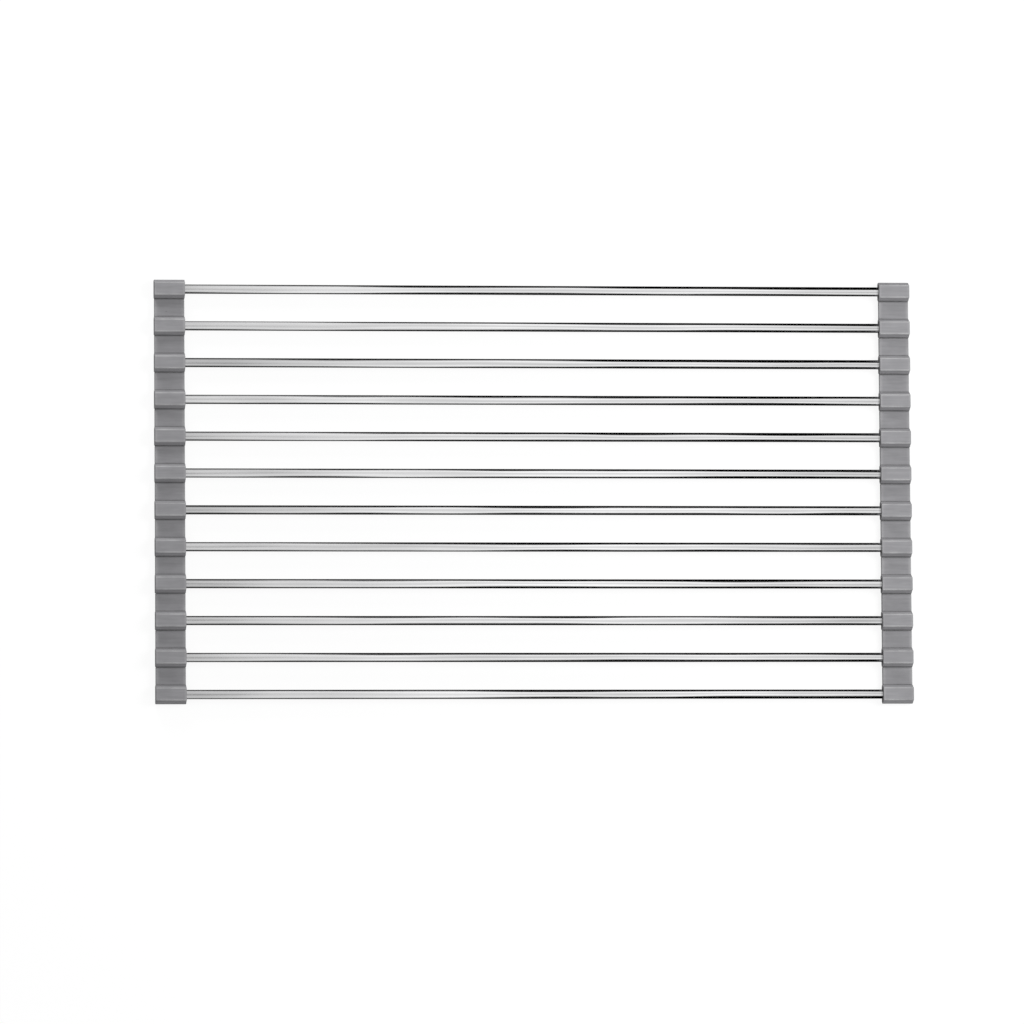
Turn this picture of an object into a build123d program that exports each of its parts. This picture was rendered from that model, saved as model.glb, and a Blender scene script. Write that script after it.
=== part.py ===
"""Roll-up sink drying rack: a row of thin steel tubes whose ends sit in two flexible moulded strips.

The rack lies flat. X runs along the tubes, Y runs across them from the front tube to the rear
tube, and Z is up. The origin is on the surface that the rack lies on, under its centre.
Each strip is one moulding: a row of blocks, the sleeves, that grip the tube ends, joined by thin
webs that bend. Every sleeve and every web is a solid of its own, so that the strip can roll up.
"""
import os

from build123d import *

# Rack
rack_length = 520.0  # over both strips, along the tubes
tube_count = 12
tube_pitch = 25.2  # from one tube's axis to the next

# Tubes
tube_diameter = 6.35
tube_wall = 0.5

# Sleeves
sleeve_length = 21.0  # along the tube
sleeve_width = 12.9  # across the tube, where the webs join
sleeve_top_width = 8.9
sleeve_foot_width = 10.5
sleeve_roof = 1.5  # silicone over the tube
sleeve_floor = 1.5  # silicone under the tube
sleeve_end_wall = 2.0  # silicone past the tube's end
sleeve_edge_round = 0.6
sleeve_rim_round = 0.4

# Webs
web_side_step = 0.2  # from a sleeve's end to the web's side edge
web_thickness = 2.6
web_top_drop = 0.45  # from the tube's axis down to the web's top
web_edge_round = 0.7

# Clearances
bore_clearance = 0.05  # round the tube in its sleeve
tube_end_clearance = 0.3  # between the tube's end and the blind end of its sleeve

# Places that follow from the sizes
bore_diameter = tube_diameter + 2 * bore_clearance
axis_height = sleeve_floor + bore_diameter / 2
sleeve_height = axis_height + bore_diameter / 2 + sleeve_roof
web_top = axis_height - web_top_drop
web_bottom = web_top - web_thickness
web_length = tube_pitch - sleeve_width
web_width = sleeve_length - 2 * web_side_step  # along the tubes
tube_length = rack_length - 2 * (sleeve_end_wall + tube_end_clearance)
strip_sides = {"left": -1, "right": 1}


def tube_place(index):
    """The Y of a tube's axis. Index zero is the front tube."""
    return (index - (tube_count - 1) / 2) * tube_pitch


def end_plane(side, distance, place):
    """A plane across the tubes, a distance in from one end of the rack. It looks to the middle."""
    origin = (side * (rack_length / 2 - distance), place, 0)
    return Plane(origin=origin, x_dir=(0, -side, 0), z_dir=(-side, 0, 0))


def save(solid, name):
    """Label a finished piece and write it under its name."""
    solid.label = name
    export_step(solid, f"parts/{name}.step")


def make_tube(index):
    """A plain hollow tube, open at both ends."""
    start = end_plane(-1, (rack_length - tube_length) / 2, tube_place(index))
    with BuildPart() as tube:
        with BuildSketch(start):
            with Locations((0, axis_height)):
                Circle(tube_diameter / 2)
                Circle(tube_diameter / 2 - tube_wall, mode=Mode.SUBTRACT)
        extrude(amount=tube_length)
    save(tube.part, f"tube_{index + 1:02d}")


def make_sleeve(index, name, side):
    """A block with sloped flanks and a blind bore for the tube, its rims and top edges rounded."""
    outer_end = end_plane(side, 0, tube_place(index))
    blind_end = end_plane(side, sleeve_end_wall, tube_place(index))
    outline = [
        (sleeve_foot_width / 2, 0),
        (sleeve_width / 2, web_bottom),
        (sleeve_width / 2, web_top),
        (sleeve_top_width / 2, sleeve_height),
        (-sleeve_top_width / 2, sleeve_height),
        (-sleeve_width / 2, web_top),
        (-sleeve_width / 2, web_bottom),
        (-sleeve_foot_width / 2, 0),
    ]
    with BuildPart() as sleeve:
        with BuildSketch(outer_end):
            with BuildLine():
                Polyline(*outline, close=True)
            make_face()
        extrude(amount=sleeve_length)
        top_edges = sleeve.edges().filter_by(Axis.X).group_by(Axis.Z)[-1]
        fillet(top_edges, radius=sleeve_edge_round)
        end_faces = sleeve.faces().filter_by(Axis.X)
        fillet(end_faces.edges(), radius=sleeve_rim_round)
        with BuildSketch(blind_end):
            with Locations((0, axis_height)):
                Circle(bore_diameter / 2)
        extrude(amount=sleeve_length - sleeve_end_wall, mode=Mode.SUBTRACT)
    save(sleeve.part, f"{name}_sleeve_{index + 1:02d}")


def make_web(index, name, side):
    """A thin flat bridge between two sleeves, its two side edges rounded on top."""
    place = (tube_place(index) + tube_place(index + 1)) / 2
    start = end_plane(side, web_side_step, place)
    with BuildPart() as web:
        with BuildSketch(start):
            with Locations((0, web_top - web_thickness / 2)):
                Rectangle(web_length, web_thickness)
        extrude(amount=web_width)
        side_edges = web.edges().filter_by(Axis.Y).group_by(Axis.Z)[-1]
        fillet(side_edges, radius=web_edge_round)
    save(web.part, f"{name}_web_{index + 1:02d}")


os.makedirs("parts", exist_ok=True)
for tube_index in range(tube_count):
    make_tube(tube_index)
    for strip_name, strip_side in strip_sides.items():
        make_sleeve(tube_index, strip_name, strip_side)
for web_index in range(tube_count - 1):
    for strip_name, strip_side in strip_sides.items():
        make_web(web_index, strip_name, strip_side)
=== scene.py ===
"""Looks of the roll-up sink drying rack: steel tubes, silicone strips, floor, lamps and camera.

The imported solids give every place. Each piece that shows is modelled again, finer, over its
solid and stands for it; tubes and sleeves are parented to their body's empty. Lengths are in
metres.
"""
import logging
import math
from collections.abc import Callable
from dataclasses import dataclass
from enum import Enum

import bmesh
import bpy
from mathutils import Matrix, Vector


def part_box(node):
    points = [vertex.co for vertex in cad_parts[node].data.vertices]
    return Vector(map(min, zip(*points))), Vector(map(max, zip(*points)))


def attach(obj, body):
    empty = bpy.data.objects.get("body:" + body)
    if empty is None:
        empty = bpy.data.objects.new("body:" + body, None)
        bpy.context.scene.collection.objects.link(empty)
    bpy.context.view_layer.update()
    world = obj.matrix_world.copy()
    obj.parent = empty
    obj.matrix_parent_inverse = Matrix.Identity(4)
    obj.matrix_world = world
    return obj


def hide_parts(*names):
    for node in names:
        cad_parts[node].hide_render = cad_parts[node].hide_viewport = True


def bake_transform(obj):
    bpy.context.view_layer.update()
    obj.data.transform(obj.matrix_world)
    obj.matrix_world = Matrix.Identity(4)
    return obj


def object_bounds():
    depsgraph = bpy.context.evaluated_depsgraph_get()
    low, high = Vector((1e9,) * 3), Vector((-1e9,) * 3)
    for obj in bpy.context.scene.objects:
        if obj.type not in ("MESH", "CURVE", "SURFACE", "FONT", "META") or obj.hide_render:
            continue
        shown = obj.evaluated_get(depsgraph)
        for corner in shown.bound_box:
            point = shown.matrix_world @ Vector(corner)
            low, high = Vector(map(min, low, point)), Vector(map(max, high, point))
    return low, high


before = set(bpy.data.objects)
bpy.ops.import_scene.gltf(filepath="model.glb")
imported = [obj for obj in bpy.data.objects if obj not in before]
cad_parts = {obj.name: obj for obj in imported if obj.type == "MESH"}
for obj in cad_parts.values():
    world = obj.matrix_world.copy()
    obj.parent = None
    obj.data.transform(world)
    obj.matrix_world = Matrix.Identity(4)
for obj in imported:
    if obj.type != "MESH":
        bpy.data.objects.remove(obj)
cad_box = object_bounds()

Colour = tuple[float, float, float, float]
Triple = tuple[float, float, float]
Line = tuple[tuple[float, float], ...]
Socket = bpy.types.NodeSocket

log = logging.getLogger("drying_rack")

X_AXIS, Y_AXIS, Z_AXIS = Vector((1, 0, 0)), Vector((0, 1, 0)), Vector((0, 0, 1))

# The span that a noise texture's values mostly fill.
NOISE_SPAN = (0.3, 0.7)

# Vertices nearer to each other than this become one.
MERGE_DISTANCE = 0.000001

# A face looks along an axis when more than this share of its normal lies along it.
FACING_SHARE = 0.999

# How much large faces lead in the even shading, where 50 is not at all.
SHADING_WEIGHT = 60


class Side(Enum):
    """The two strips, by the direction from the middle of the rack to each."""

    LEFT = -1
    RIGHT = 1

    @property
    def word(self) -> str:
        """The side's name as the nodes spell it."""
        return self.name.lower()


class Graph:
    """One node tree, with short calls that add nodes and join their sockets."""

    def __init__(self, tree: bpy.types.NodeTree) -> None:
        """Keep a tree and empty it."""
        self.tree = tree
        tree.nodes.clear()

    def add(self, kind: str, **settings: object) -> bpy.types.Node:
        """Add one node.

        Args:
            kind: The node's type, without the word ShaderNode.
            settings: Values of the node's own properties.

        Returns:
            The new node.
        """
        node = self.tree.nodes.new("ShaderNode" + kind)
        for name, value in settings.items():
            setattr(node, name, value)
        return node

    def feed(self, target: Socket, source: object) -> None:
        """Join a socket to a source, or set it.

        Args:
            target: The input socket.
            source: An output socket, or a plain value for the input.
        """
        if isinstance(source, bpy.types.NodeSocket):
            self.tree.links.new(source, target)
        else:
            target.default_value = source

    def sum_up(self, operation: str, *terms: object) -> Socket:
        """Work out one number.

        Args:
            operation: The Math node's operation.
            terms: Sockets or numbers, in the node's order.

        Returns:
            The result's socket.
        """
        node = self.add("Math", operation=operation)
        for place, term in enumerate(terms):
            self.feed(node.inputs[place], term)
        return node.outputs[0]

    def spread(
        self, value: Socket, low: object, high: object, start: float = 0.0, end: float = 1.0
    ) -> Socket:
        """Spread a mask over a new range, clamped at both ends.

        Args:
            value: The mask.
            low: The result at the start.
            high: The result at the end.
            start: The mask's value that gives low.
            end: The mask's value that gives high.

        Returns:
            The result's socket.
        """
        node = self.add("MapRange")
        ends = {"From Min": start, "From Max": end, "To Min": low, "To Max": high}
        for name, term in {"Value": value, **ends}.items():
            self.feed(node.inputs[name], term)
        return node.outputs["Result"]

    def vary(self, noise: Socket, low: object, high: object) -> Socket:
        """Spread a noise over a range, by the span that its values fill."""
        return self.spread(noise, low, high, *NOISE_SPAN)

    def profile(self, value: Socket, points: Line) -> Socket:
        """Follow a line of straight runs, level before its first point and after its last.

        Args:
            value: The mask.
            points: The mask's values with their results, in rising order.

        Returns:
            The result's socket.
        """
        result = points[0][1]
        for (start, low), (end, high) in zip(points, points[1:]):
            result = self.sum_up("ADD", result, self.spread(value, 0.0, high - low, start, end))
        return result

    def tint(self, share: object, base: object, top: object) -> Socket:
        """Lay one colour over another.

        Args:
            share: How much of the top colour shows.
            base: The colour underneath.
            top: The colour on top.

        Returns:
            The mixed colour's socket.
        """
        # A Mix node's inputs 6 and 7 and its output 2 are the colours.
        node = self.add("Mix", data_type="RGBA")
        for place, term in ((0, share), (6, base), (7, top)):
            self.feed(node.inputs[place], term)
        return node.outputs[2]

    def multiplied(self, vector: Socket, factor: object) -> Socket:
        """Multiply a place or a colour.

        Args:
            vector: The place or colour.
            factor: One number's socket for all axes, or a vector with a number for each.

        Returns:
            The result's socket.
        """
        node = self.add("VectorMath", operation="MULTIPLY")
        self.feed(node.inputs[0], vector)
        self.feed(node.inputs[1], factor)
        return node.outputs[0]

    def noise(self, place: Socket, size: Socket, **settings: object) -> Socket:
        """Sample a noise texture.

        Args:
            place: Where it is sampled.
            size: The size of its patches.
            settings: Its other inputs, by name.

        Returns:
            Its value, from 0 to 1.
        """
        node = self.add("TexNoise")
        inputs = {"Vector": place, "Scale": self.sum_up("DIVIDE", 1.0, size), **settings}
        for name, value in inputs.items():
            self.feed(node.inputs[name], value)
        return node.outputs[0]

    def effect(self, group: bpy.types.NodeTree, **values: object) -> Socket:
        """Place an effect group and set its inputs.

        Args:
            group: The node group.
            values: Its inputs by name, with _ for a space.

        Returns:
            The group's result.
        """
        node = self.add("Group", node_tree=group)
        for name, value in values.items():
            self.feed(node.inputs[name.replace("_", " ")], value)
        return node.outputs[0]

    def attribute(self, name: str, output: str = "Fac") -> Socket:
        """Read an attribute of the mesh."""
        return self.add("Attribute", attribute_name=name).outputs[output]

    def own_place(self) -> Socket:
        """The place in the object's own frame."""
        return self.add("TexCoord").outputs["Object"]

    def own_axes(self) -> tuple[Socket, ...]:
        """The place in the object's own frame, as X, Y and Z."""
        parts = self.add("SeparateXYZ")
        self.feed(parts.inputs[0], self.own_place())
        return tuple(parts.outputs)

    def show(self, shader: bpy.types.Node, output: str = "OutputMaterial") -> None:
        """Make a shader the surface of the tree's material or world."""
        self.feed(self.add(output).inputs["Surface"], shader.outputs[0])

    def shown_directly(self) -> Socket:
        """One for camera, mirror and see-through rays, zero for the soft light."""
        path = self.add("LightPath")
        seen = self.sum_up("MAXIMUM", path.outputs["Is Camera Ray"], path.outputs["Is Glossy Ray"])
        return self.sum_up("MAXIMUM", seen, path.outputs["Is Transmission Ray"])


def new_material(name: str) -> tuple[bpy.types.Material, Graph]:
    """Make an empty material.

    Args:
        name: Its name.

    Returns:
        The material and its graph.
    """
    material = bpy.data.materials.new(name)
    material.use_nodes = True
    return material, Graph(material.node_tree)


class Effects:
    """The surface effects that the finishes share, each one node group."""

    drift_detail: float = 3.0
    grain_roughness: float = 0.6
    speck_core: float = 0.5
    least_wear_and_highlight: float = 0.35
    wear_and_highlight_span: tuple[float, float] = (0.35, 0.65)

    def __init__(self) -> None:
        """Build every group once."""
        self.tone_drift = self.make_tone_drift()
        self.fine_grain = self.make_fine_grain()
        self.dust_specks = self.make_dust_specks()
        self.edge_wear_and_highlight = self.make_edge_wear_and_highlight()

    def start(
        self, name: str, inputs: dict[str, str], output: str, kind: str
    ) -> tuple[Graph, dict[str, Socket], Socket]:
        """Make an empty group with named sockets.

        Args:
            name: The group's name.
            inputs: The type of each input by name: Float, Vector or Color.
            output: The output's name.
            kind: The output's type.

        Returns:
            The group's graph, its inputs by name, and the socket that takes its result.
        """
        tree = bpy.data.node_groups.new(name, "ShaderNodeTree")
        for title, socket in inputs.items():
            tree.interface.new_socket(name=title, in_out="INPUT", socket_type="NodeSocket" + socket)
        tree.interface.new_socket(name=output, in_out="OUTPUT", socket_type="NodeSocket" + kind)
        graph = Graph(tree)
        entry = tree.nodes.new("NodeGroupInput")
        leave = tree.nodes.new("NodeGroupOutput")
        return graph, {title: entry.outputs[title] for title in inputs}, leave.inputs[output]

    def make_tone_drift(self) -> bpy.types.NodeTree:
        """Soft blotches that make a colour a little lighter and darker."""
        inputs = {"Place": "Vector", "Colour": "Color", "Patch Size": "Float", "Drift": "Float"}
        graph, given, result = self.start("tone drift", inputs, "Colour", "Color")
        noise = graph.noise(given["Place"], given["Patch Size"], Detail=self.drift_detail)
        darkest = graph.sum_up("SUBTRACT", 1.0, given["Drift"])
        lightest = graph.sum_up("ADD", 1.0, given["Drift"])
        share = graph.vary(noise, darkest, lightest)
        graph.feed(result, graph.multiplied(given["Colour"], share))
        return graph.tree

    def make_fine_grain(self) -> bpy.types.NodeTree:
        """A fine texture, drawn out along any axis whose Squeeze is small."""
        inputs = {"Place": "Vector", "Grain Size": "Float", "Squeeze": "Vector", "Detail": "Float"}
        graph, given, result = self.start("fine grain", inputs, "Height", "Float")
        squeezed = graph.multiplied(given["Place"], given["Squeeze"])
        settings = {"Detail": given["Detail"], "Roughness": self.grain_roughness}
        graph.feed(result, graph.noise(squeezed, given["Grain Size"], **settings))
        return graph.tree

    def make_dust_specks(self) -> bpy.types.NodeTree:
        """Small round specks, one in each of some cells."""
        inputs = {"Place": "Vector", "Spacing": "Float", "Speck Size": "Float", "Share": "Float"}
        graph, given, result = self.start("dust specks", inputs, "Mask", "Float")
        cells = graph.add("TexVoronoi")
        graph.feed(cells.inputs["Vector"], given["Place"])
        graph.feed(cells.inputs["Scale"], graph.sum_up("DIVIDE", 1.0, given["Spacing"]))
        reach = graph.sum_up("MULTIPLY", cells.outputs["Distance"], given["Spacing"])
        size = graph.sum_up("DIVIDE", reach, given["Speck Size"])
        dot = graph.spread(size, 1.0, 0.0, self.speck_core, 1.0)
        parts = graph.add("SeparateColor")
        graph.feed(parts.inputs[0], cells.outputs["Color"])
        chosen = graph.sum_up("LESS_THAN", parts.outputs[0], given["Share"])
        graph.feed(result, graph.sum_up("MULTIPLY", dot, chosen))
        return graph.tree

    def make_edge_wear_and_highlight(self) -> bpy.types.NodeTree:
        """A patchy mask along the rounded edges, for wear and painted highlights."""
        inputs = {"Edge": "Float", "Place": "Vector", "Patch Size": "Float"}
        graph, given, result = self.start("edge wear", inputs, "Mask", "Float")
        noise = graph.noise(given["Place"], given["Patch Size"])
        patches = graph.spread(noise, self.least_wear_and_highlight, 1.0, *self.wear_and_highlight_span)
        graph.feed(result, graph.sum_up("MULTIPLY", given["Edge"], patches))
        return graph.tree

    def blotches(
        self, graph: Graph, place: Socket, colour: Colour, size: float, drift: float
    ) -> Socket:
        """Let a colour drift.

        Args:
            graph: The material's graph.
            place: The place on the piece.
            colour: The colour.
            size: The size of a blotch.
            drift: How much lighter and darker it gets, as a share.

        Returns:
            The drifting colour.
        """
        return graph.effect(
            self.tone_drift, Place=place, Colour=colour, Patch_Size=size, Drift=drift
        )

    def grain(
        self, graph: Graph, place: Socket, size: float, stretch: float, detail: float
    ) -> Socket:
        """Lay a fine texture.

        Args:
            graph: The material's graph.
            place: The place on the piece.
            size: The size of a grain.
            stretch: Less than 1 to draw the grains out along the tubes.
            detail: How many finer layers it has.

        Returns:
            The texture's height.
        """
        squeeze = (stretch, 1.0, 1.0)
        return graph.effect(
            self.fine_grain, Place=place, Grain_Size=size, Squeeze=squeeze, Detail=detail
        )

    def specks(
        self, graph: Graph, place: Socket, spacing: float, size: float, share: float
    ) -> Socket:
        """Scatter one sort of speck.

        Args:
            graph: The material's graph.
            place: The place on the piece.
            spacing: The size of a cell.
            size: The size of a speck.
            share: The share of cells that hold a speck.

        Returns:
            The specks' mask.
        """
        return graph.effect(
            self.dust_specks, Place=place, Spacing=spacing, Speck_Size=size, Share=share
        )


@dataclass(frozen=True)
class SteelFinish:
    """Drawn, polished steel tube: faint lines run along it, and its reflections wander a little."""

    colour: Colour = (0.85, 0.85, 0.855, 1.0)
    dust_colour: Colour = (0.42, 0.41, 0.4, 1.0)
    # Painted shadow: the colour of the tube where it enters the right sleeve.
    painted_shadow_colour: Colour = (0.1, 0.1, 0.1, 1.0)
    drift: float = 0.16
    patch_size: float = 0.02
    patch_stretch: float = 0.12
    line_size: float = 0.0007
    line_stretch: float = 0.012
    line_detail: float = 2.0
    line_drift: float = 0.03
    smoothest: float = 0.12
    roughest: float = 0.17
    line_depth: float = 0.0002
    wander_size: float = 0.012
    wander_stretch: float = 0.08
    wander_detail: float = 1.0
    wander_depth: float = 2.8
    bump_unit: float = 0.001
    dust_share: float = 0.5
    speck_spacing: float = 0.016
    speck_size: float = 0.00022
    speck_share: float = 0.25

    def make(self, effects: Effects) -> bpy.types.Material:
        """Build the material.

        Args:
            effects: The shared effect groups.

        Returns:
            The steel.
        """
        material, graph = new_material("polished_steel")
        surface = graph.add("BsdfPrincipled")
        surface.inputs["Metallic"].default_value = 1.0
        place = graph.own_place()
        lines = effects.grain(graph, place, self.line_size, self.line_stretch, self.line_detail)
        wander = effects.grain(
            graph, place, self.wander_size, self.wander_stretch, self.wander_detail
        )
        specks = effects.specks(
            graph, place, self.speck_spacing, self.speck_size, self.speck_share
        )
        stretched = graph.multiplied(place, (self.patch_stretch, 1.0, 1.0))
        drifted = effects.blotches(graph, stretched, self.colour, self.patch_size, self.drift)
        streaks = graph.vary(lines, 1.0 - self.line_drift, 1.0 + self.line_drift)
        dust = graph.sum_up("MULTIPLY", specks, self.dust_share)
        dusty = graph.tint(dust, graph.multiplied(drifted, streaks), self.dust_colour)
        # Painted shadow: the crease layer darkens the tube towards and inside the right sleeve's
        # mouth.
        shaded = graph.tint(graph.attribute("crease"), dusty, self.painted_shadow_colour)
        graph.feed(surface.inputs["Base Color"], shaded)
        drawn = graph.vary(lines, self.smoothest, self.roughest)
        graph.feed(surface.inputs["Roughness"], graph.sum_up("MAXIMUM", drawn, dust))
        bump = graph.add("Bump")
        bump.inputs["Distance"].default_value = self.bump_unit
        drawn_lines = graph.sum_up("MULTIPLY", lines, self.line_depth)
        slow_waves = graph.sum_up("MULTIPLY", wander, self.wander_depth)
        graph.feed(bump.inputs["Height"], graph.sum_up("ADD", drawn_lines, slow_waves))
        graph.feed(surface.inputs["Normal"], bump.outputs[0])
        graph.show(surface)
        return material


@dataclass(frozen=True)
class SiliconeFinish:
    """Moulded grey silicone: matt, slightly cool, with faint blotches, flow lines and lint."""

    colour: Colour = (0.283, 0.2805, 0.2925, 1.0)
    # Paler edges are wear with a painted highlight; the dark colour below is painted shade.
    wear_and_highlight_colour: Colour = (0.46, 0.46, 0.465, 1.0)
    painted_shade_colour: Colour = (0.1, 0.1, 0.1, 1.0)
    dark_speck: Colour = (0.08, 0.08, 0.08, 1.0)
    pale_speck: Colour = (0.55, 0.55, 0.55, 1.0)
    ior: float = 1.41
    drift: float = 0.05
    patch_size: float = 0.012
    flow_drift: float = 0.08
    flow_size: float = 0.0016
    flow_stretch: float = 0.08
    grain_size: float = 0.00035
    grain_detail: float = 2.0
    grain_depth: float = 0.00003
    grain_strength: float = 0.6
    wear_and_highlight_share: float = 0.75
    painted_shade_share: float = 0.5
    pit_share: float = 0.8
    lint_share: float = 0.5
    smoothest: float = 0.48
    roughest: float = 0.62
    pit_spacing: float = 0.009
    lint_spacing: float = 0.0072
    speck_size: float = 0.0004
    dark_share: float = 0.1
    pale_share: float = 0.18

    def make(self, effects: Effects) -> bpy.types.Material:
        """Build the material.

        Args:
            effects: The shared effect groups.

        Returns:
            The silicone.
        """
        material, graph = new_material("grey_silicone")
        surface = graph.add("BsdfPrincipled")
        surface.inputs["IOR"].default_value = self.ior
        place = graph.attribute("rest_place", "Vector")
        grain = effects.grain(graph, place, self.grain_size, 1.0, self.grain_detail)
        flow = effects.grain(graph, place, self.flow_size, self.flow_stretch, self.grain_detail)
        blotched = effects.blotches(graph, place, self.colour, self.patch_size, self.drift)
        wear_and_highlight = graph.effect(
            effects.edge_wear_and_highlight,
            Edge=graph.attribute("edge_wear_and_highlight"),
            Place=place,
            Patch_Size=self.patch_size,
        )
        pits = effects.specks(graph, place, self.pit_spacing, self.speck_size, self.dark_share)
        lint = effects.specks(graph, place, self.lint_spacing, self.speck_size, self.pale_share)
        # Pale edges are wear with a painted highlight, the crease layer is painted shade, and pits
        # and lint are dust.
        layers = (
            (wear_and_highlight, self.wear_and_highlight_share, self.wear_and_highlight_colour),
            (graph.attribute("crease"), self.painted_shade_share, self.painted_shade_colour),
            (pits, self.pit_share, self.dark_speck),
            (lint, self.lint_share, self.pale_speck),
        )
        lines = graph.vary(flow, 1.0 - self.flow_drift, 1.0 + self.flow_drift)
        colour = graph.multiplied(blotched, lines)
        for mask, share, layer in layers:
            colour = graph.tint(graph.sum_up("MULTIPLY", mask, share), colour, layer)
        graph.feed(surface.inputs["Base Color"], colour)
        rough = graph.vary(grain, self.smoothest, self.roughest)
        graph.feed(surface.inputs["Roughness"], rough)
        bump = graph.add("Bump")
        bump.inputs["Strength"].default_value = self.grain_strength
        bump.inputs["Distance"].default_value = self.grain_depth
        graph.feed(bump.inputs["Height"], grain)
        graph.feed(surface.inputs["Normal"], bump.outputs[0])
        graph.show(surface)
        return material


def levels_between(low: float, high: float, count: int) -> list[float]:
    """Even steps that divide a length.

    Args:
        low: Where the length starts.
        high: Where it ends.
        count: How many parts it is divided into.

    Returns:
        The places inside, without the two ends.
    """
    return [low + (high - low) * step / count for step in range(1, count)]


def cut_across(mesh: bmesh.types.BMesh, axis: Vector, places: list[float]) -> None:
    """Cut loops into a mesh, square to an axis.

    Args:
        mesh: The mesh.
        axis: The unit vector that the cuts are square to.
        places: Where the cuts are, along the axis.
    """
    for place in places:
        everything = mesh.verts[:] + mesh.edges[:] + mesh.faces[:]
        bmesh.ops.bisect_plane(mesh, geom=everything, plane_co=axis * place, plane_no=axis)


def round_edges(
    mesh: bmesh.types.BMesh, edges: list[bmesh.types.BMEdge], radius: float, segments: int
) -> None:
    """Round some edges.

    Args:
        mesh: The mesh.
        edges: The edges.
        radius: How far the rounding reaches.
        segments: How many faces go round it.
    """
    bmesh.ops.bevel(
        mesh,
        geom=edges,
        offset=radius,
        affect="EDGES",
        segments=segments,
        profile=0.5,
        material=-1,
        clamp_overlap=True,
    )


def block_between(low: Vector, high: Vector) -> bmesh.types.BMesh:
    """A plain block to shape further.

    Args:
        low: Its lowest corner.
        high: Its highest corner.

    Returns:
        The block's mesh.
    """
    mesh = bmesh.new()
    bmesh.ops.create_cube(mesh, size=1.0)
    bmesh.ops.scale(mesh, vec=high - low, verts=mesh.verts)
    bmesh.ops.translate(mesh, vec=(low + high) / 2, verts=mesh.verts)
    return mesh


def end_faces(mesh: bmesh.types.BMesh, axis: Vector) -> list[bmesh.types.BMFace]:
    """The faces that look along an axis, either way."""
    mesh.normal_update()
    return [face for face in mesh.faces if abs(face.normal.dot(axis)) > FACING_SHARE]


def round_tube(centre: Vector) -> Matrix:
    """The placing of a circle that goes round a tube's axis."""
    return Matrix.Translation(centre) @ Matrix.Rotation(math.radians(90), 4, "Y")


def stand_for(
    node: str,
    mesh: bmesh.types.BMesh,
    material: bpy.types.Material,
    slot: str,
    wear_and_highlight: Callable[[Vector], float] = lambda place: 0.0,
    painted_shade: Callable[[Vector], float] = lambda place: 0.0,
) -> bpy.types.Object:
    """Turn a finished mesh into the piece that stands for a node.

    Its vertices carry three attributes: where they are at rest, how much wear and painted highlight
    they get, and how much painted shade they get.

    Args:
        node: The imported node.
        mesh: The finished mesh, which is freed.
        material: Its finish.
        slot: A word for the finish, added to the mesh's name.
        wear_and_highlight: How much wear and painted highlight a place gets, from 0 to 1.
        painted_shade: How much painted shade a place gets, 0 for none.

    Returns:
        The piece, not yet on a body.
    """
    bmesh.ops.remove_doubles(mesh, verts=mesh.verts, dist=MERGE_DISTANCE)
    bmesh.ops.recalc_face_normals(mesh, faces=mesh.faces)
    data = bpy.data.meshes.new(f"{node}_{slot}")
    rest = mesh.verts.layers.float_vector.new("rest_place")
    # Wear with painted highlight goes in edge_wear_and_highlight, painted shade in the layer named
    # crease.
    edge = mesh.verts.layers.float.new("edge_wear_and_highlight")
    crease = mesh.verts.layers.float.new("crease")
    for vert in mesh.verts:
        vert[rest] = vert.co
        vert[edge] = wear_and_highlight(vert.co)
        vert[crease] = painted_shade(vert.co)
    for face in mesh.faces:
        face.smooth = True
    mesh.to_mesh(data)
    mesh.free()
    piece = bpy.data.objects.new(data.name, data)
    bpy.context.scene.collection.objects.link(piece)
    data.materials.append(material)
    shading = piece.modifiers.new("even_shading", "WEIGHTED_NORMAL")
    shading.weight = SHADING_WEIGHT
    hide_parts(node)
    log.info("%s: %d faces", piece.name, len(data.polygons))
    return piece


@dataclass
class Tube:
    """A thin-walled steel tube, open at both ends, with a painted shadow where it enters the right
    sleeve.
    """

    number: int
    wall: float = 0.0005
    lip: float = 0.00012
    lip_steps: int = 2
    sharp_angle: float = 1.0
    sides: int = 96
    mouth_shade: float = 0.7
    shade_reach: float = 0.0018

    def build(self, steel: bpy.types.Material) -> None:
        """Model the tube over its solid and set it on its link.

        Args:
            steel: The tube's finish.
        """
        node = f"tube_{self.number:02d}"
        low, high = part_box(node)
        mesh = bmesh.new()
        place = round_tube(Vector((low.x, (low.y + high.y) / 2, (low.z + high.z) / 2)))
        outer = (high.z - low.z) / 2
        for radius in (outer, outer - self.wall):
            bmesh.ops.create_circle(
                mesh, cap_ends=False, radius=radius, segments=self.sides, matrix=place
            )
        ring = bmesh.ops.bridge_loops(mesh, edges=mesh.edges)["faces"]
        drawn = bmesh.ops.extrude_face_region(mesh, geom=ring, use_keep_orig=True)["geom"]
        moved = [part for part in drawn if isinstance(part, bmesh.types.BMVert)]
        bmesh.ops.translate(mesh, vec=(high.x - low.x, 0, 0), verts=moved)
        bmesh.ops.recalc_face_normals(mesh, faces=mesh.faces)
        rims = [edge for edge in mesh.edges if edge.calc_face_angle(0) > self.sharp_angle]
        round_edges(mesh, rims, self.lip, self.lip_steps)
        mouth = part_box(f"right_sleeve_{self.number:02d}")[0].x
        cut_across(mesh, X_AXIS, [mouth - self.shade_reach, mouth])
        # Painted shadow: it fades in over shade_reach before the right sleeve's mouth and stays
        # full inside it.
        tube = stand_for(
            node,
            mesh,
            steel,
            "steel",
            painted_shade=lambda place: self.mouth_shade * (place.x > mouth - self.lip),
        )
        tube.visible_glossy = False
        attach(tube, f"link_{self.number:02d}")


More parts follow.
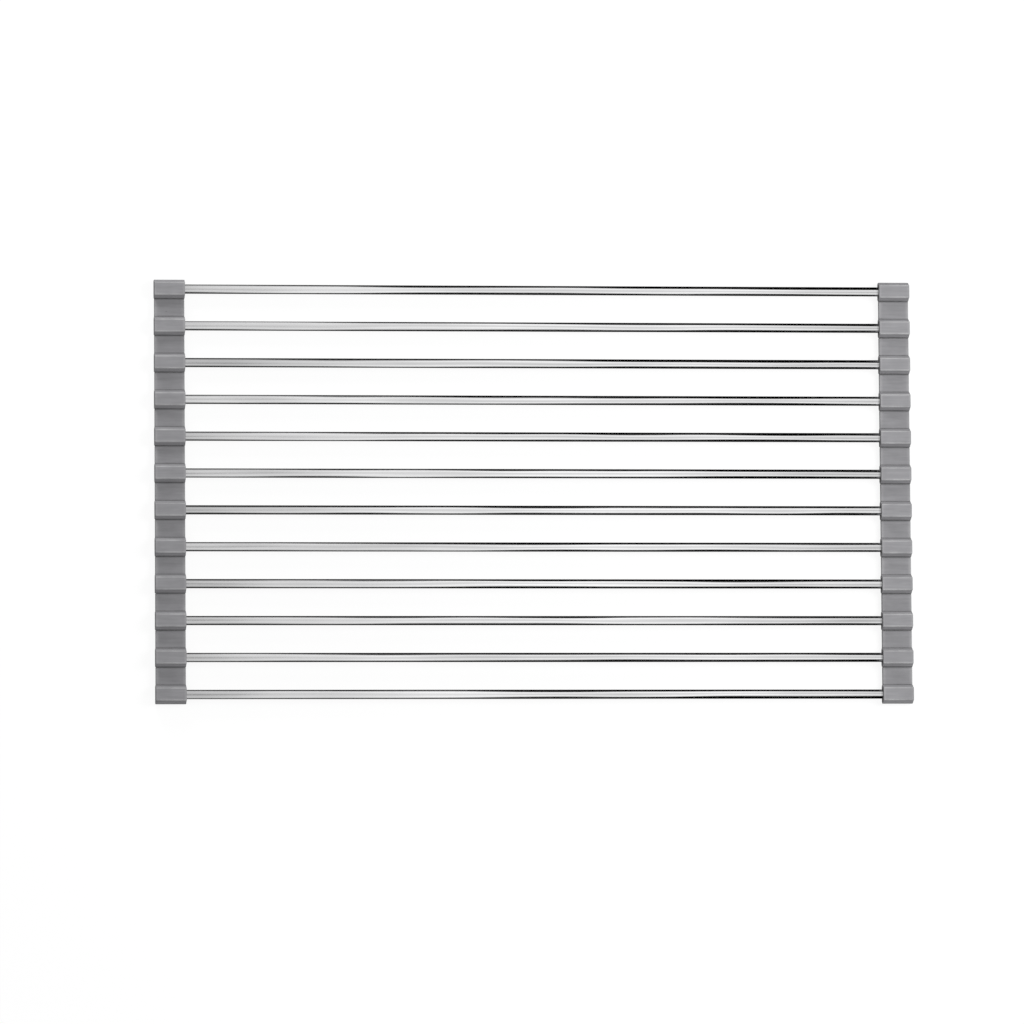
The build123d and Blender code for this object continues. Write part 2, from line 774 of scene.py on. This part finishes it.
@dataclass
class Sleeve:
    """A silicone block with sloped, slightly hollow flanks and a blind bore for a tube's end.

    It is widest from side_low to side_high, where the webs join. The slack is how far a point may
    be from a line and still count as on it, as a share of the rim's rounding.
    """

    side: Side
    number: int
    last: int
    side_low: float = 0.001675
    side_high: float = 0.004275
    foot_half: float = 0.00525
    top_half: float = 0.00445
    hollow: float = 0.00035
    web_drop: float = 0.00045
    foot_shade: float = 0.0002
    # Painted shade: in the bore's mouth, on the inner end, a little on the outer end, and where
    # webs join.
    mouth_shade: float = 2.0
    inner_shade: float = 1.0
    outer_shade: float = 0.3
    # Painted highlight along the ends' top edges, and how far the long edges' wear and painted
    # highlight reach.
    rim_highlight: float = 0.5
    rim_fade: float = 0.0015
    wear_and_highlight_reach: float = 1.2
    slack: float = 0.05
    plain_half: float = 0.0033
    flank_steps: int = 5
    edge_round: float = 0.0006
    edge_steps: int = 3
    rim_round: float = 0.0004
    bore_radius: float = 0.003225
    bore_depth: float = 0.019
    mouth_round: float = 0.0002
    mouth_steps: int = 2
    bore_sides: int = 48

    def half_width(self, height: float, top: float, widest: float) -> float:
        """Half the block's width at a height.

        Args:
            height: The height above the foot.
            top: The block's whole height.
            widest: Half the width where the webs join.

        Returns:
            Half the width there.
        """
        if height < self.side_low:
            return self.foot_half + (widest - self.foot_half) * height / self.side_low
        if height < self.side_high:
            return widest
        rise = (height - self.side_high) / (top - self.side_high)
        return widest + (self.top_half - widest) * rise - self.hollow * math.sin(math.pi * rise)

    def shape(self, low: Vector, high: Vector) -> bmesh.types.BMesh:
        """Shape the block, without its bore.

        Args:
            low: The solid's lowest corner.
            high: Its highest corner.

        Returns:
            The block.
        """
        mesh = block_between(low, high)
        flank = levels_between(self.side_high, high.z, self.flank_steps)
        cut_across(mesh, Z_AXIS, [self.side_low, self.side_high, *flank])
        middle = (low.y + high.y) / 2
        widest = (high.y - low.y) / 2
        for vert in mesh.verts:
            share = self.half_width(vert.co.z, high.z, widest) / widest
            vert.co.y = middle + (vert.co.y - middle) * share
        ends = end_faces(mesh, X_AXIS)
        inside = [edge for edge in mesh.edges if all(face in ends for face in edge.link_faces)]
        bmesh.ops.dissolve_edges(mesh, edges=inside, use_verts=False)
        top_edges = [
            edge for edge in mesh.edges
            if abs(edge.verts[0].co.x - edge.verts[1].co.x) > self.edge_round
            and min(vert.co.z for vert in edge.verts) > high.z - self.edge_round
        ]
        round_edges(mesh, top_edges, self.edge_round, self.edge_steps)
        rims = {edge for face in end_faces(mesh, X_AXIS) for edge in face.edges}
        round_edges(mesh, list(rims), self.rim_round, self.edge_steps)
        return mesh

    def bore(self, mesh: bmesh.types.BMesh, mouth: Vector) -> None:
        """Sink the blind bore into the end that looks to the middle of the rack.

        Args:
            mesh: The block.
            mouth: The bore's centre on that end.
        """
        inward = Vector((-self.side.value, 0, 0))
        face = next(face for face in end_faces(mesh, inward) if face.normal.dot(inward) > 0)
        rim = list(face.edges)
        bmesh.ops.delete(mesh, geom=[face], context="FACES_ONLY")
        place = round_tube(mouth)
        circle = bmesh.ops.create_circle(
            mesh, cap_ends=False, radius=self.bore_radius, segments=self.bore_sides, matrix=place
        )
        lip = list({edge for vert in circle["verts"] for edge in vert.link_edges})
        bmesh.ops.bridge_loops(mesh, edges=rim + lip)
        sunk = bmesh.ops.extrude_edge_only(mesh, edges=lip)["geom"]
        floor = [part for part in sunk if isinstance(part, bmesh.types.BMVert)]
        bmesh.ops.translate(mesh, vec=-inward * self.bore_depth, verts=floor)
        open_rim = [part for part in sunk if isinstance(part, bmesh.types.BMEdge)]
        bmesh.ops.holes_fill(mesh, edges=open_rim, sides=0)
        bmesh.ops.recalc_face_normals(mesh, faces=mesh.faces)
        mouth_lip = [edge for edge in lip if edge.is_valid]
        round_edges(mesh, mouth_lip, self.mouth_round, self.mouth_steps)

    def wear_and_highlight_at(self, offset: Vector, rise: float, length: float) -> float:
        """How pale a point is made: wear with a painted highlight along the two long top edges, and
        a weaker painted highlight along the ends' top edges.

        Args:
            offset: The point, from the centre of the bore's mouth.
            rise: The height of the block's top over the bore's centre.
            length: The block's length.

        Returns:
            The wear and painted highlight, from 0 to 1.
        """
        inside = min(abs(offset.x), length - abs(offset.x)) / self.rim_round
        if inside < 1 - self.slack or offset.z < rise - self.edge_round:
            return 0.0
        if abs(offset.y) > self.top_half - self.wear_and_highlight_reach * self.edge_round:
            return 1.0
        return self.rim_highlight if inside < 1 + self.slack else 0.0

    def painted_shade_at(self, offset: Vector, length: float) -> float:
        """How much painted shade a point gets: by the bore's mouth, on an end, or where a web
        joins.

        Args:
            offset: The point, from the centre of the bore's mouth.
            length: The block's length.

        Returns:
            The painted shade, from 0 for none, past 1 in the mouth.
        """
        if math.hypot(offset.y, offset.z) < self.bore_radius + 2 * self.mouth_round:
            return self.mouth_shade
        if abs(offset.x) < self.rim_round / 2:
            return self.inner_shade
        if length - abs(offset.x) < (1 - self.slack) * self.rim_round:
            return self.outer_shade
        webbed = self.number < self.last if offset.y > 0 else self.number > 1
        by_web = abs(offset.z + self.web_drop) < self.foot_shade and abs(offset.y) > self.foot_half
        return 1.0 if webbed and by_web else 0.0

    def build(self, silicone: bpy.types.Material) -> None:
        """Model the sleeve over its solid and set it on its link.

        Args:
            silicone: The strip's finish.
        """
        node = f"{self.side.word}_sleeve_{self.number:02d}"
        low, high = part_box(node)
        tube_low, tube_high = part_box(f"tube_{self.number:02d}")
        mesh = self.shape(low, high)
        inner_end = low.x if self.side is Side.RIGHT else high.x
        mouth = Vector((inner_end, (tube_low.y + tube_high.y) / 2, (tube_low.z + tube_high.z) / 2))
        self.bore(mesh, mouth)
        cut_across(mesh, Y_AXIS, [mouth.y - self.plain_half, mouth.y + self.plain_half])
        fade = self.rim_round + self.rim_fade
        cut_across(mesh, X_AXIS, [low.x + fade, high.x - fade])
        # Wear with painted highlight on the top edges; painted shade at the mouth, the ends and the
        # web joins.
        sleeve = stand_for(
            node,
            mesh,
            silicone,
            "silicone",
            lambda place: self.wear_and_highlight_at(place - mouth, high.z - mouth.z, high.x - low.x),
            lambda place: self.painted_shade_at(place - mouth, high.x - low.x),
        )
        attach(sleeve, f"link_{self.number:02d}")


@dataclass
class Web:
    """A thin silicone bridge that bends between two sleeves, creased and given painted shade where
    it meets them.
    """

    side: Side
    number: int
    edge_round: float = 0.0007
    edge_steps: int = 4
    crease_steps: int = 3
    front_crease: float = 0.0002
    rear_crease: float = 0.0005
    reach: float = 0.00001
    # Painted highlight along the top of the side edges.
    side_highlight: float = 0.6
    highlight_drop: float = 0.3
    side_fade: float = 0.0018
    # Painted shade at the two ends, where the sleeves meet the web.
    front_shade: float = 0.6
    rear_shade: float = 1.0
    divisions: int = 16

    def wear_and_highlight_at(self, inset: float, drop: float) -> float:
        """How much painted highlight a point gets: only along the top of the rounded side edges.

        Args:
            inset: How far the point is in from the nearer side.
            drop: How far it is below the top.

        Returns:
            The painted highlight.
        """
        near_top = drop < self.highlight_drop * self.edge_round
        return self.side_highlight if near_top and inset < self.edge_round + self.reach else 0.0

    def build(self, silicone: bpy.types.Material) -> None:
        """Model the web over its solid, cut across into even divisions.

        Args:
            silicone: The strip's finish.
        """
        node = f"{self.side.word}_web_{self.number:02d}"
        low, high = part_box(node)
        mesh = block_between(low, high)
        side_edges = [
            edge for edge in mesh.edges
            if abs(edge.verts[0].co.y - edge.verts[1].co.y) > self.edge_round
            and min(vert.co.z for vert in edge.verts) > (low.z + high.z) / 2
        ]
        round_edges(mesh, side_edges, self.edge_round, self.edge_steps)
        for direction, crease in ((-Y_AXIS, self.front_crease), (Y_AXIS, self.rear_crease)):
            end = next(face for face in end_faces(mesh, Y_AXIS) if face.normal.dot(direction) > 0)
            round_edges(mesh, list(end.edges), crease, self.crease_steps)
        front_line, rear_line = low.y + self.front_crease, high.y - self.rear_crease
        cut_across(mesh, Y_AXIS, levels_between(front_line, rear_line, self.divisions))
        fade = self.edge_round + self.side_fade
        cut_across(mesh, X_AXIS, [low.x + fade, high.x - fade])
        # Painted highlight along the top of the side edges; painted shade at both ends, by the
        # sleeves.
        web = stand_for(
            node,
            mesh,
            silicone,
            "silicone",
            lambda place: self.wear_and_highlight_at(min(place.x - low.x, high.x - place.x), high.z - place.z),
            lambda place: self.front_shade * (place.y < front_line + self.reach)
            + self.rear_shade * (place.y > rear_line - self.reach),
        )
        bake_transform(web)


@dataclass
class Strip:
    """One flexible strip: a sleeve for every tube, with a web between each two."""

    side: Side
    sleeves: int

    def build(self, silicone: bpy.types.Material) -> None:
        """Build every sleeve and web of the strip.

        Args:
            silicone: The strip's finish.
        """
        for number in range(1, self.sleeves + 1):
            Sleeve(self.side, number, self.sleeves).build(silicone)
        for number in range(1, self.sleeves):
            Web(self.side, number).build(silicone)


@dataclass
class Rack:
    """The whole rack."""

    tubes: int = 12
    steel: SteelFinish = SteelFinish()
    silicone: SiliconeFinish = SiliconeFinish()

    def build(self, effects: Effects) -> None:
        """Build the tubes and both strips.

        Args:
            effects: The shared effect groups.
        """
        steel = self.steel.make(effects)
        for number in range(1, self.tubes + 1):
            Tube(number).build(steel)
        silicone = self.silicone.make(effects)
        for side in Side:
            Strip(side, self.tubes).build(silicone)


@dataclass
class Viewpoint:
    """The camera: far above the rack, leaning a little to its left and front.

    Leans and turn are in degrees. The middle of the rack lies rack_right and rack_up pixels off
    the middle of the picture, and sight_width is how much the picture shows there.
    """

    lean_left: float = 6.0
    lean_front: float = 5.0
    distance: float = 6.0
    turn: float = 0.085
    sight_width: float = 0.7003
    picture_pixels: int = 1024
    sensor_width: float = 36.0
    sight_range: tuple[float, float] = (0.1, 200.0)
    rack_right: float = 22.4
    rack_up: float = 20.0

    def build(self) -> None:
        """Place the camera and make it the scene's own."""
        lens = bpy.data.cameras.new("overhead_camera")
        lens.sensor_width = self.sensor_width
        lens.lens = lens.sensor_width * self.distance / self.sight_width
        lens.clip_start, lens.clip_end = self.sight_range
        left, front = (math.tan(math.radians(lean)) for lean in (self.lean_left, self.lean_front))
        back = Vector((-left, -front, 1)).normalized()
        right = (X_AXIS - back * back.x).normalized()
        right.rotate(Matrix.Rotation(math.radians(self.turn), 3, back))
        up = back.cross(right)
        low, high = cad_box
        pixel = self.sight_width / self.picture_pixels
        aim = (low + high) / 2 - (right * self.rack_right + up * self.rack_up) * pixel
        camera = bpy.data.objects.new("overhead_camera", lens)
        facing = Matrix((right, up, back)).transposed().to_4x4()
        camera.matrix_world = Matrix.Translation(aim + back * self.distance) @ facing
        bpy.context.scene.collection.objects.link(camera)
        bpy.context.scene.camera = camera
        log.info("camera: %.1f m away, lens %.0f mm", self.distance, lens.lens)


@dataclass(frozen=True)
class Lamp:
    """A soft square lamp that looks at a point of the rack, and that metal doesn't mirror."""

    name: str
    place: Triple
    aim: Triple
    width: float
    power: float

    def build(self) -> None:
        """Hang the lamp."""
        light = bpy.data.lights.new(self.name, "AREA")
        light.shape = "SQUARE"
        light.size = self.width
        light.energy = self.power
        lamp = bpy.data.objects.new(self.name, light)
        lamp.location = self.place
        gaze = Vector(self.aim) - Vector(self.place)
        lamp.rotation_euler = gaze.to_track_quat("-Z", "Y").to_euler()
        lamp.visible_glossy = False
        bpy.context.scene.collection.objects.link(lamp)
        log.info("%s: %.1f W", self.name, self.power)


@dataclass
class Studio:
    """A pale room: white floor and sky, soft lamps, and flags that only reflections show.

    A Line gives a brightness, a height or a share by the place along the tubes. The floor's gives
    its glow by the distance from the rack's centre.
    """

    lamps: tuple[Lamp, ...] = (
        Lamp("key_lamp", (0.9, 0.2, 0.95), (0.2, 0.0, 0.0), 0.7, 10.0),
        Lamp("front_lamp", (0.7, -1.25, 0.45), (0.2, 0.0, 0.0), 0.5, 4.7),
        Lamp("rear_lamp", (-0.5, 0.95, 0.42), (-0.25, 0.1, 0.0), 0.4, 5.9),
    )
    sky_level: float = 0.4
    floor_half: float = 30.0
    floor_drop: float = 0.0002
    floor_glow: Line = ((0.5, 0.885), (1.1, 0.945))
    floor_paper: float = 0.15
    floor_bounce: float = 0.55
    flag_half: float = 1.2
    flag_width: float = 2.4
    flag_blur: float = 0.25
    flag_dark: Line = ((-0.6, 0.12), (-0.25, 0.045), (0.1, 0.0), (0.5, 0.0), (0.9, 0.08))
    end_edge: Line = ((0.0, 0.04),)
    base_edge: Line = ((-0.1, 0.35), (0.5, 0.5), (0.9, 0.85))
    base_blur: float = 0.15
    base_grey: float = 0.4
    flag_white: Line = (
        (-0.15, 0.56), (-0.12, 0.66), (-0.09, 0.76), (-0.05, 0.88), (0.0, 0.9), (0.12, 1.0),
    )
    rear_edge: Line = (
        (-0.14, -0.06), (-0.09, 0.06), (-0.04, 0.26), (0.035, 0.56),
        (0.125, 0.71), (0.22, 0.74), (0.305, 0.78), (0.4, 1.0),
    )
    front_edge: Line = (
        (-0.09, -0.08), (-0.04, -0.06), (0.035, 0.13), (0.125, 0.28),
        (0.215, 0.5), (0.305, 0.55), (0.38, 0.68), (0.44, 0.62),
    )
    hood_height: float = 1.6
    hood_half: float = 2.2
    hood_rear: float = 0.2
    hood_dip: tuple[float, float] = (0.05, 0.6)
    hood_ring: tuple[float, float] = (0.7, 1.1)
    hood_level: Line = (
        (-0.15, 0.54), (-0.06, 0.7), (-0.02, 0.82), (0.06, 0.8),
        (0.15, 0.85), (0.4, 0.92), (0.44, 0.78), (0.48, 0.62),
    )
    hood_depth: Line = (
        (-0.15, 0.62), (-0.07, 0.0), (0.06, 0.0), (0.15, 0.2),
        (0.33, 0.09), (0.4, 0.32), (0.48, 0.25),
    )
    hood_rim: Line = ((-0.12, -0.05), (0.0, 0.05), (0.08, 0.1), (0.15, 0.28))

    def build(self) -> None:
        """Build the sky, the floor, the flags and the lamps."""
        self.light_sky()
        self.lay_floor()
        self.stand_flags()
        self.hang_hood()
        for lamp in self.lamps:
            lamp.build()

    def light_sky(self) -> None:
        """A white sky, dimmer for the soft light than for the eye."""
        world = bpy.data.worlds.new("pale_room")
        world.use_nodes = True
        world.cycles.sampling_method = "NONE"
        bpy.context.scene.world = world
        graph = Graph(world.node_tree)
        sky = graph.add("Background")
        level = graph.spread(graph.shown_directly(), self.sky_level, 1.0)
        graph.feed(sky.inputs["Strength"], level)
        sky.inputs["Color"].default_value = (1, 1, 1, 1)
        graph.show(sky, "OutputWorld")

    def sheet(
        self, name: str, half: Triple, centre: Triple, material: bpy.types.Material
    ) -> bpy.types.Object:
        """A flat board of the studio, which isn't part of the rack.

        Args:
            name: Its name.
            half: Half its size along each axis; one of them is zero.
            centre: Its centre.
            material: Its finish.

        Returns:
            The board.
        """
        mesh = bmesh.new()
        turned = Matrix.Identity(4)
        if not half[0]:
            turned = Matrix.Rotation(math.radians(90), 4, "Y")
        if not half[1]:
            turned = Matrix.Rotation(math.radians(90), 4, "X")
        bmesh.ops.create_grid(mesh, x_segments=1, y_segments=1, size=1.0, matrix=turned)
        bmesh.ops.scale(mesh, vec=half, verts=mesh.verts)
        bmesh.ops.translate(mesh, vec=centre, verts=mesh.verts)
        data = bpy.data.meshes.new(name)
        mesh.to_mesh(data)
        mesh.free()
        data.materials.append(material)
        board = bpy.data.objects.new(name, data)
        bpy.context.scene.collection.objects.link(board)
        return board

    def lay_floor(self) -> None:
        """A white floor that glows to the eye, less by the rack, and keeps the rack's shadow."""
        material, graph = new_material("white_floor")
        material.cycles.emission_sampling = "NONE"
        glow = graph.add("Emission")
        reach = graph.add("VectorMath", operation="LENGTH")
        graph.feed(reach.inputs[0], graph.own_place())
        graph.feed(glow.inputs["Strength"], graph.profile(reach.outputs["Value"], self.floor_glow))
        paper = graph.add("BsdfDiffuse")
        paper.inputs["Color"].default_value = (self.floor_paper,) * 3 + (1.0,)
        seen = graph.add("AddShader")
        graph.feed(seen.inputs[0], glow.outputs[0])
        graph.feed(seen.inputs[1], paper.outputs[0])
        bounce = graph.add("BsdfDiffuse")
        bounce.inputs["Color"].default_value = (self.floor_bounce,) * 3 + (1.0,)
        either = graph.add("MixShader")
        graph.feed(either.inputs[0], graph.shown_directly())
        graph.feed(either.inputs[1], bounce.outputs[0])
        graph.feed(either.inputs[2], seen.outputs[0])
        graph.show(either)
        half = self.floor_half
        floor = self.sheet("floor", (half, half, 0), (0, 0, -self.floor_drop), material)
        floor.visible_glossy = False

    def mirrored_only(self, board: bpy.types.Object) -> None:
        """Hide a board from everything but mirror reflections."""
        board.visible_camera = False
        board.visible_diffuse = False
        board.visible_transmission = False
        board.visible_volume_scatter = False
        board.visible_shadow = False

    def glowing(self, name: str) -> tuple[Graph, bpy.types.Node, bpy.types.Material]:
        """A finish whose brightness a graph gives.

        Args:
            name: The finish's name.

        Returns:
            Its graph, the glow's node and the material.
        """
        material, graph = new_material(name)
        material.cycles.emission_sampling = "NONE"
        glow = graph.add("Emission")
        graph.show(glow)
        return graph, glow, material

    def stand_flags(self) -> None:
        """A deep base and four walls that give the tubes dark edge lines, wider to the right."""
        half, wide = self.flag_half, self.flag_width
        base = self.sheet("flag_base", (wide, half, 0), (0, 0, -half), self.base_finish())
        self.mirrored_only(base)
        walls = (
            ("flag_rear", (wide, 0, half), (0, half, 0), self.rear_edge),
            ("flag_front", (wide, 0, half), (0, -half, 0), self.front_edge),
            ("flag_left", (0, half, half), (-wide, 0, 0), self.end_edge),
            ("flag_right", (0, half, half), (wide, 0, 0), self.end_edge),
        )
        for name, size, centre, edge in walls:
            self.mirrored_only(self.sheet(name, size, centre, self.wall_finish(name, edge)))

    def base_finish(self) -> bpy.types.Material:
        """The base's brightness: grey under the rack, dark towards the walls."""
        graph, glow, material = self.glowing("flag_base")
        along, across, _ = graph.own_axes()
        off_middle = graph.sum_up("ABSOLUTE", across)
        inside = graph.sum_up("SUBTRACT", graph.profile(along, self.base_edge), off_middle)
        grey = graph.spread(inside, 0.0, self.base_grey, -self.base_blur, self.base_blur)
        dark = graph.profile(along, self.flag_dark)
        graph.feed(glow.inputs["Strength"], graph.sum_up("MAXIMUM", dark, grey))
        return material

    def wall_finish(self, name: str, edge: Line) -> bpy.types.Material:
        """A wall's brightness: dark, and above its soft edge nearly as white as the sky.

        Args:
            name: The finish's name.
            edge: The height of the edge by the place along the wall.

        Returns:
            The finish.
        """
        graph, glow, material = self.glowing(name)
        along, _, height = graph.own_axes()
        over = graph.sum_up("SUBTRACT", height, graph.profile(along, edge))
        above = graph.spread(over, 0.0, 1.0, -self.flag_blur, self.flag_blur)
        white = graph.sum_up("MULTIPLY", above, graph.profile(along, self.flag_white))
        dark = graph.profile(along, self.flag_dark)
        graph.feed(glow.inputs["Strength"], graph.sum_up("MAXIMUM", dark, white))
        return material

    def hang_hood(self) -> None:
        """An overhead board that dims the tops of the tubes, most at their two ends."""
        graph, glow, material = self.glowing("overhead_hood")
        along, across, _ = graph.own_axes()
        off_middle = graph.sum_up("ABSOLUTE", graph.sum_up("ADD", across, self.hood_rear))
        lines = (self.hood_level, self.hood_depth, self.hood_rim)
        level, depth, rim = (graph.profile(along, line) for line in lines)
        near = graph.spread(off_middle, 1.0, 0.0, *self.hood_dip)
        far = graph.spread(off_middle, 0.0, 1.0, *self.hood_ring)
        dip = graph.sum_up("MULTIPLY", near, depth)
        ring = graph.sum_up("MULTIPLY", far, rim)
        share = graph.sum_up("SUBTRACT", graph.sum_up("ADD", 1.0, ring), dip)
        graph.feed(glow.inputs["Strength"], graph.sum_up("MULTIPLY", level, share))
        half = self.hood_half
        self.mirrored_only(self.sheet("hood", (half, half, 0), (0, 0, self.hood_height), material))


def main() -> None:
    """Build the rack, the studio and the camera."""
    logging.basicConfig(level=logging.INFO, format="%(name)s: %(message)s")
    bpy.context.scene.view_settings.view_transform = "Standard"
    Rack().build(Effects())
    Studio().build()
    Viewpoint().build()


if __name__ == "__main__":
    main()
